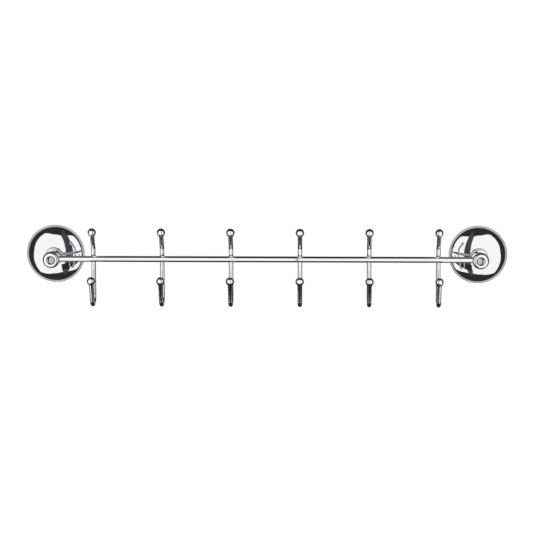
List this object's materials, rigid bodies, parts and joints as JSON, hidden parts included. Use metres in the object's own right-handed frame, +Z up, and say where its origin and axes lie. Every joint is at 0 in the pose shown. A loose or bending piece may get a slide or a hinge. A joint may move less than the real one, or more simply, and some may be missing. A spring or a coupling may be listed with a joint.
{
  "type": "towel hook rail",
  "caption": "Wall-mounted rail: a round bar between two turned knobs on posts and domed flanges, with double wire hooks that end in balls, for hanging towels.",
  "frame": {"origin": "on the wall plane, midway between the two flanges, at the height of the bar's axis", "axes": "+X along the bar to the right as seen from the room, +Y into the wall, +Z up"},
  "size_m": [0.512, 0.0855, 0.0835],
  "materials": {
    "chrome": "bright chrome plate, mirror polished",
    "zinc_steel": "zinc-plated pressed steel and screws, satin"
  },
  "bodies": {
    "root": {"bar": "chrome", "left_flange_cover": "chrome", "left_post": "chrome", "left_knob": "chrome", "left_knob_cap": "chrome", "left_wall_bracket": "zinc_steel", "left_wall_screw_upper": "zinc_steel", "left_wall_screw_lower": "zinc_steel", "left_post_nut": "zinc_steel", "left_post_washer": "zinc_steel", "left_cover_screw": "zinc_steel", "right_flange_cover": "chrome", "right_post": "chrome", "right_knob": "chrome", "right_knob_cap": "chrome", "right_wall_bracket": "zinc_steel", "right_wall_screw_upper": "zinc_steel", "right_wall_screw_lower": "zinc_steel", "right_post_nut": "zinc_steel", "right_post_washer": "zinc_steel", "right_cover_screw": "zinc_steel", "hook_1_wire": "chrome", "hook_1_upper_ball": "chrome", "hook_1_lower_ball": "chrome", "hook_2_wire": "chrome", "hook_2_upper_ball": "chrome", "hook_2_lower_ball": "chrome", "hook_3_wire": "chrome", "hook_3_upper_ball": "chrome", "hook_3_lower_ball": "chrome", "hook_4_wire": "chrome", "hook_4_upper_ball": "chrome", "hook_4_lower_ball": "chrome", "hook_5_wire": "chrome", "hook_5_upper_ball": "chrome", "hook_5_lower_ball": "chrome", "hook_6_wire": "chrome", "hook_6_upper_ball": "chrome", "hook_6_lower_ball": "chrome"}
  },
  "joints": []
}
